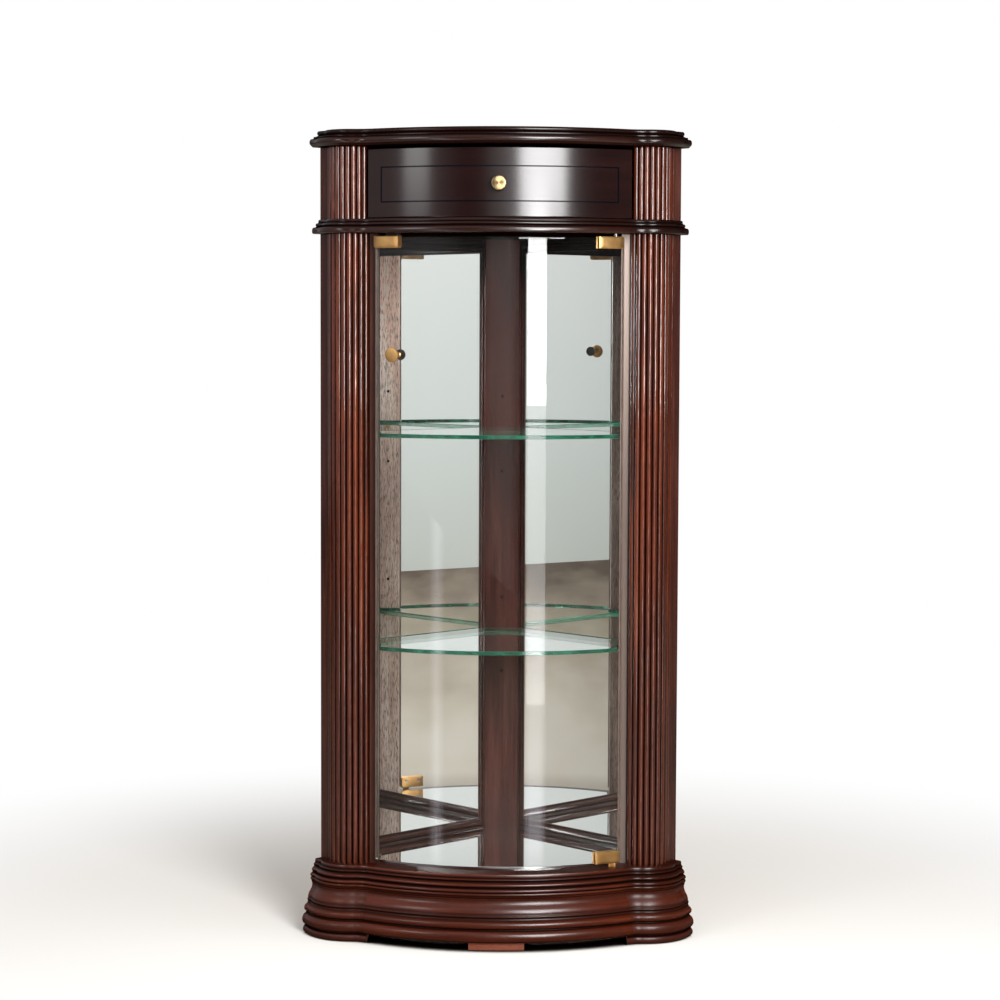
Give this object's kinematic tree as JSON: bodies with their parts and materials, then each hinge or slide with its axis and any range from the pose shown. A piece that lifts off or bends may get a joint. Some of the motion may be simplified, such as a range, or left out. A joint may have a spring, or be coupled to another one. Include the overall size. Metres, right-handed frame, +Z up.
{
  "type": "corner curio cabinet",
  "caption": "Bow-front glass corner cabinet with reeded columns, a frieze drawer, mirrored walls, glass shelves and a moulded plinth.",
  "frame": {"origin": "bottom centre of the bounding box, on the floor", "axes": "+Z up; the door and drawer face -Y; the back corner points to +Y; +X is the viewer's right"},
  "size_m": [0.5976, 0.4159, 1.2185],
  "materials": {
    "mahogany": "gloss",
    "backing": "matte",
    "drawer_wood": "satin",
    "inlay": "satin",
    "brass": "satin",
    "steel": "satin",
    "catch_black": "matte",
    "door_glass": "polished",
    "shelf_glass": "polished",
    "mirror": "polished"
  },
  "bodies": {
    "case": {"back_board_left": "backing", "back_board_right": "backing", "base_board": "mahogany", "centre_post": "mahogany", "column_left": "mahogany", "column_right": "mahogany", "door_stop": "mahogany", "drawer_guides": "drawer_wood", "drawer_runners": "drawer_wood", "drawer_stop": "drawer_wood", "floor_mirror": "mirror", "foot_centre": "mahogany", "foot_corner_left": "mahogany", "foot_corner_right": "mahogany", "foot_rear": "backing", "frieze_back_left": "backing", "frieze_back_right": "backing", "frieze_block_left": "mahogany", "frieze_block_right": "mahogany", "frieze_returns": "mahogany", "glue_blocks": "backing", "magnet_catch": "catch_black", "mirror_beads_left": "mahogany", "mirror_beads_right": "mahogany", "mirror_left": "mirror", "mirror_right": "mirror", "pivot_sockets": "steel", "plinth_backs": "backing", "plinth_corner_left": "mahogany", "plinth_corner_right": "mahogany", "plinth_front": "mahogany", "return_left": "mahogany", "return_right": "mahogany", "shelf_lower": "shelf_glass", "shelf_pins_lower": "brass", "shelf_pins_upper": "brass", "shelf_upper": "shelf_glass", "stile_left": "mahogany", "stile_right": "mahogany", "top_board": "mahogany", "waist_board": "mahogany"},
    "door": {"door_glass": "door_glass", "hinge_plate_top": "brass", "hinge_plate_bottom": "brass", "catch_plate": "brass", "pivot_pins": "steel", "door_knob": "brass", "door_knob_screw": "steel", "hinge_screws": "steel"},
    "adjuster": {"knurled_adjuster": "brass"},
    "drawer": {"drawer_back": "drawer_wood", "drawer_bottom": "drawer_wood", "drawer_cant_left": "drawer_wood", "drawer_cant_right": "drawer_wood", "drawer_front": "mahogany", "drawer_knob": "brass", "drawer_knob_screw": "steel", "drawer_side_left": "drawer_wood", "drawer_side_right": "drawer_wood", "string_inlay": "inlay"}
  },
  "joints": [
    {"name": "door_swing", "type": "hinge", "parent": "case", "child": "door", "pos_m": [0.173, -0.11857, 0.118], "axis": [0, 0, 1], "range_deg": [0, 100]},
    {"name": "adjuster_turn", "type": "hinge", "parent": "case", "child": "adjuster", "pos_m": [0.173, -0.11857, 0.114], "axis": [0, 0, 1], "continuous": true},
    {"name": "drawer_slide", "type": "slide", "parent": "case", "child": "drawer", "axis": [0, -1, 0], "range_m": [0, 0.24]}
  ]
}
